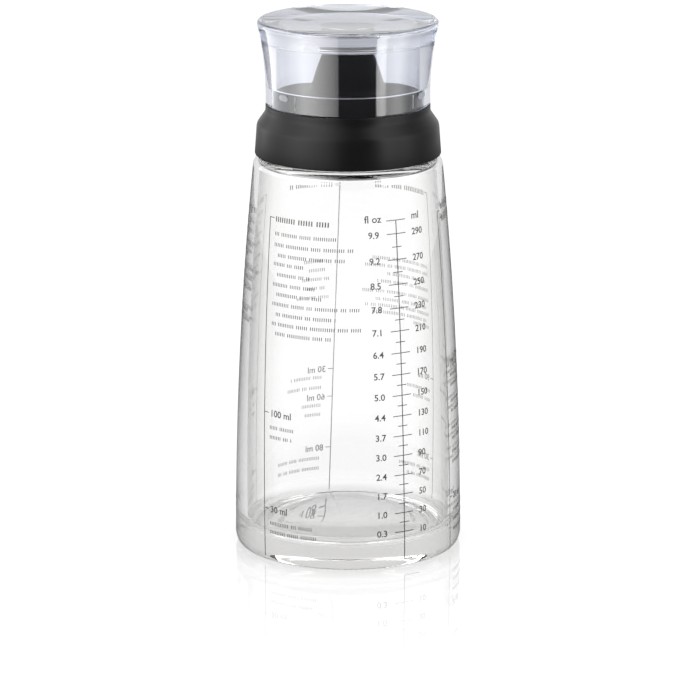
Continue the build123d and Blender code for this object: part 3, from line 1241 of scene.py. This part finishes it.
@dataclass
class Studio:
    """The floor, the lights, the background and the camera."""

    tent_radius: float = 90.0 * MM
    tent_foot: float = 119.0 * MM
    tent_height: float = 150.0 * MM
    tent_levels: tuple[tuple[float, float], ...] = (
        (-120, 3.5), (-97, 2.8), (-81, 3.2), (-67, 5.2), (-54, 8.2), (-42, 7.2), (-31, 5.6), (-19, 3.6), (-12, 2.2),
        (-10.5, 0.08), (33.5, 0.08), (35, 6.5), (42, 8.5), (46, 7.0), (48, 4.1), (61, 4.8), (67, 4.3), (74, 2.5),
        (81, 1.2), (100, 0.6),
    )
    tent_full: float = 10.0
    backdrop_radius: float = 690.0 * MM
    backdrop_height: float = 500.0 * MM
    white: float = 1.08
    ambient: float = 0.45
    dark_room: float = 0.05
    floor_radius: float = 700.0 * MM
    floor_gap: float = 0.05 * MM
    floor_ior: float = 1.5
    polish: float = 0.45
    polish_gain: float = 2.7
    polish_roughness: float = 0.03
    polish_reach: tuple[float, float] = (35 * MM, 190 * MM)
    # A painted shadow: the floor's glow is lowered within this reach of the axis, under the bottle's foot.
    contact: float = 0.74
    contact_reach: tuple[float, float] = (34 * MM, 44 * MM)
    shade: float = 0.12
    shade_light: float = 0.9
    table_glow: float = 1.1
    # Painted light: seen in mirrors, the floor glows brighter near the shaker and fades further out.
    mirrored_glow: float = 0.3
    mirrored_reach: tuple[float, float] = (110 * MM, 260 * MM)
    camera_place: Triple = (0.64 * MM, -1169.0 * MM, 374.4 * MM)
    camera_pitch: float = math.radians(14.96)
    focal_pixels: float = 3807.0
    image_pixels: float = 700.0
    sensor: float = 36.0
    aim: Triple = (0.0, 0.0, 80.0 * MM)
    lamps: tuple[tuple[str, Triple, tuple[float, float], float], ...] = (
        ("left_softbox", (-210.0, -212.0, 140.0), (392.0, 420.0), 1.5),
        ("right_softbox", (290.0, -137.0, 140.0), (190.0, 420.0), 0.7),
        ("top_softbox", (0.0, 60.0, 620.0), (420.0, 420.0), 1.5),
    )

    def build(self) -> None:
        """Set up everything that isn't the shaker."""
        self.camera()
        self.world()
        self.floor()
        self.backdrop()
        self.tent()
        self.lights()

    def camera(self) -> None:
        """Place the camera at the photograph's viewpoint."""
        select_none()
        bpy.ops.object.camera_add(location=self.camera_place, rotation=(math.pi / 2 - self.camera_pitch, 0, 0))
        eye = bpy.context.object
        eye.name = "viewpoint"
        eye.data.sensor_width = self.sensor
        eye.data.lens = self.focal_pixels / self.image_pixels * self.sensor
        eye.data.clip_start = 10 * MM
        bpy.context.scene.camera = eye

    def rays(self, sheet: NodeSheet) -> tuple[bpy.types.Node, bpy.types.Node]:
        """Tell rays that show the studio from rays that light a surface.

        Args:
            sheet: The tree to add the nodes to.

        Returns:
            A node that gives one for a ray from the camera or through glass, and a node that
            gives one for a ray from a mirror.
        """
        path = sheet.add("ShaderNodeLightPath").outputs
        direct = sheet.add("ShaderNodeMath", {0: path["Diffuse Depth"], 1: 0.5}, operation="LESS_THAN")
        outside = sheet.add("ShaderNodeMath", {0: path["Transmission Depth"], 1: 0.5}, operation="LESS_THAN")
        mirror = sheet.add("ShaderNodeMath", {0: path["Is Reflection Ray"], 1: outside}, operation="MULTIPLY")
        mirrored = sheet.add("ShaderNodeMath", {0: mirror, 1: direct}, operation="MULTIPLY")
        shown = sheet.add("ShaderNodeMath", {0: direct, 1: mirrored}, operation="SUBTRACT")
        return shown, mirrored

    def world(self) -> None:
        """Make the room white to the camera and through glass, dark in mirrors, and dim as a lamp."""
        sheet = NodeSheet(bpy.data.worlds.new("studio"))
        shown, mirrored = self.rays(sheet)
        direction = sheet.add("ShaderNodeTexCoord").outputs["Generated"]
        backwards = sheet.add("ShaderNodeSeparateXYZ", {0: direction}).outputs["Y"]
        gloom = sheet.add("ShaderNodeMapRange", {
            "Value": backwards, "From Min": 0.1, "From Max": -0.5, "To Min": 0.0, "To Max": 1.0 - self.dark_room,
        })
        bounces = sheet.add("ShaderNodeLightPath").outputs["Glossy Depth"]
        bounced = sheet.add("ShaderNodeMath", {0: bounces, 1: 0.5}, operation="GREATER_THAN")
        gloom = sheet.add("ShaderNodeMath", {0: gloom, 1: bounced}, operation="MULTIPLY")
        seen = sheet.add("ShaderNodeMath", {0: self.white - self.ambient, 1: gloom}, operation="SUBTRACT")
        lit = sheet.add("ShaderNodeMath", {0: shown, 1: seen, 2: self.ambient}, operation="MULTIPLY_ADD")
        strength = sheet.add("ShaderNodeMath", {
            0: mirrored, 1: self.dark_room - self.ambient, 2: lit,
        }, operation="MULTIPLY_ADD")
        white = sheet.add("ShaderNodeBackground", {"Color": WHITE, "Strength": strength})
        bpy.context.scene.world = sheet.finish(white, "World")

    def floor(self) -> None:
        """Lay a white floor that mirrors the shaker faintly near it, with a painted shadow under the bottle's foot and
        a painted glow that only mirrors see.
        """
        select_none()
        bpy.ops.mesh.primitive_circle_add(
            vertices=128, radius=self.floor_radius, fill_type="NGON", location=(0, 0, -self.floor_gap),
        )
        floor = bpy.context.object
        floor.name = "floor"
        sheet = NodeSheet(bpy.data.materials.new("white_acrylic_table"))
        shown, mirrored = self.rays(sheet)
        place = sheet.add("ShaderNodeTexCoord").outputs["Object"]
        reach = sheet.add("ShaderNodeVectorMath", {0: place}, operation="LENGTH").outputs["Value"]
        share = sheet.add("ShaderNodeMapRange", {
            "Value": reach, "From Min": self.polish_reach[0], "From Max": self.polish_reach[1],
            "To Min": 1.0, "To Max": 0.0,
        })
        gloss = sheet.add("ShaderNodeFresnel", {"IOR": self.floor_ior})
        raised = sheet.add("ShaderNodeMath", {0: gloss, 1: self.polish_gain}, operation="MULTIPLY")
        limited = sheet.add("ShaderNodeMath", {0: raised, 1: self.polish}, operation="MINIMUM")
        polish = sheet.add("ShaderNodeMath", {0: limited, 1: share}, operation="MULTIPLY")
        shaded = self.shade_light * self.shade
        # Painted shadow: the floor's glow drops near the axis, under the bottle's foot, by distance alone.
        under = sheet.add("ShaderNodeMapRange", {
            "Value": reach, "From Min": self.contact_reach[0], "From Max": self.contact_reach[1],
            "To Min": self.table_glow * self.contact - shaded, "To Max": self.table_glow - shaded,
        })
        # Painted light: in mirrors the floor glows brighter near the shaker, by distance from the axis.
        painted_near_glow = sheet.add("ShaderNodeMapRange", {
            "Value": reach, "From Min": self.mirrored_reach[0], "From Max": self.mirrored_reach[1],
            "To Min": self.mirrored_glow, "To Max": self.dark_room,
        })
        matt = sheet.add("ShaderNodeBsdfDiffuse", {"Color": linear("#f4f4f4")})
        pale = sheet.add("ShaderNodeBsdfDiffuse", {"Color": (self.shade, self.shade, self.shade, 1)})
        glow = sheet.add("ShaderNodeEmission", {"Color": WHITE, "Strength": under})
        white = sheet.add("ShaderNodeAddShader", {0: pale, 1: glow})
        mirror = sheet.add("ShaderNodeBsdfGlossy", {"Color": WHITE, "Roughness": self.polish_roughness})
        glossy = sheet.add("ShaderNodeMixShader", {0: polish, 1: white, 2: mirror})
        fading = sheet.add("ShaderNodeEmission", {"Color": WHITE, "Strength": painted_near_glow})
        seen = sheet.add("ShaderNodeMixShader", {0: shown, 1: matt, 2: glossy})
        both = sheet.add("ShaderNodeMixShader", {0: mirrored, 1: seen, 2: fading})
        floor.data.materials.append(sheet.finish(both))

    def round_screen(self, name: str, vertices: int, radius: float, foot: float, height: float) -> Piece:
        """Stand an open round screen about the shaker, which only mirrors show.

        Args:
            name: The screen's name.
            vertices: How many sides it has.
            radius: Its radius.
            foot: The height of its lower edge.
            height: How tall it is.

        Returns:
            The screen.
        """
        select_none()
        bpy.ops.mesh.primitive_cylinder_add(
            vertices=vertices, radius=radius, depth=height, end_fill_type="NOTHING",
            location=(0, 0, foot + height / 2),
        )
        screen = bpy.context.object
        screen.name = name
        bpy.ops.object.transform_apply(location=True, rotation=True, scale=True)
        screen.visible_camera = screen.visible_diffuse = False
        screen.visible_transmission = screen.visible_shadow = False
        return screen

    def backdrop(self) -> None:
        """Stand a white wall far round the shaker."""
        wall = self.round_screen("backdrop", 96, self.backdrop_radius, 0.0, self.backdrop_height)
        sheet = NodeSheet(bpy.data.materials.new("white_paper_backdrop"))
        glow = sheet.add("ShaderNodeEmission", {"Color": WHITE, "Strength": 1.0})
        wall.data.materials.append(sheet.finish(glow))

    def tent(self) -> None:
        """Hang a curved light screen round the front of the cap: a wide panel left, a strip and a panel right."""
        screen = self.round_screen("light_screen", 180, self.tent_radius, self.tent_foot, self.tent_height)
        start, end = self.tent_levels[0][0], self.tent_levels[-1][0]
        delete_points(screen, lambda place: not start < math.degrees(math.atan2(place.x, -place.y)) < end)
        sheet = NodeSheet(bpy.data.materials.new("diffusion_fabric"))
        place = sheet.add("ShaderNodeTexCoord").outputs["Object"]
        apart = sheet.add("ShaderNodeSeparateXYZ", {0: place}).outputs
        ahead = sheet.add("ShaderNodeMath", {0: apart["Y"], 1: -1.0}, operation="MULTIPLY")
        turn = sheet.add("ShaderNodeMath", {0: apart["X"], 1: ahead}, operation="ARCTAN2")
        degrees = sheet.add("ShaderNodeMath", {0: turn}, operation="DEGREES")
        share = sheet.add("ShaderNodeMapRange", {
            "Value": degrees, "From Min": start, "From Max": end,
        })
        full = self.tent_full
        stops = [
            ((place - start) / (end - start), (level / full, level / full, level / full, 1.0))
            for place, level in self.tent_levels
        ]
        curve = sheet.add("ShaderNodeValToRGB", {"Fac": share}, stops)
        strength = sheet.add("ShaderNodeMath", {0: curve, 1: full}, operation="MULTIPLY")
        glow = sheet.add("ShaderNodeEmission", {"Color": WHITE, "Strength": strength})
        screen.data.materials.append(sheet.finish(glow))

    def lights(self) -> None:
        """Hang the soft boxes, which the camera and the glass don't show."""
        for name, place, size, power in self.lamps:
            select_none()
            middle = Vector(place) * MM
            bpy.ops.object.light_add(type="AREA", location=middle)
            lamp = bpy.context.object
            lamp.name = name
            lamp.data.shape = "RECTANGLE"
            lamp.data.size, lamp.data.size_y = size[0] * MM, size[1] * MM
            lamp.data.energy = power
            lamp.rotation_euler = (Vector(self.aim) - middle).to_track_quat("-Z", "Y").to_euler()
            lamp.visible_camera = False
            lamp.visible_transmission = False
            lamp.visible_glossy = name == "top_softbox"


def main() -> None:
    """Build the shaker and the studio."""
    logging.basicConfig(level=logging.INFO, format="%(name)s %(message)s")
    bpy.context.scene.view_settings.view_transform = "Standard"
    bottle = GlassBottle()
    glass = bottle.build()
    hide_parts("glass_bottle")
    bottle.thread()
    ScreenPrint(bottle).build()
    gasket, insert, collar = PouringClosure().build()
    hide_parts("neck_gasket")
    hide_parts("pouring_insert")
    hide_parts("screw_collar")
    cap, pad = FlaredCap().build()
    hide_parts("clear_cap")
    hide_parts("spout_seal")
    Studio().build()
    select_none()


if __name__ == "__main__":
    main()
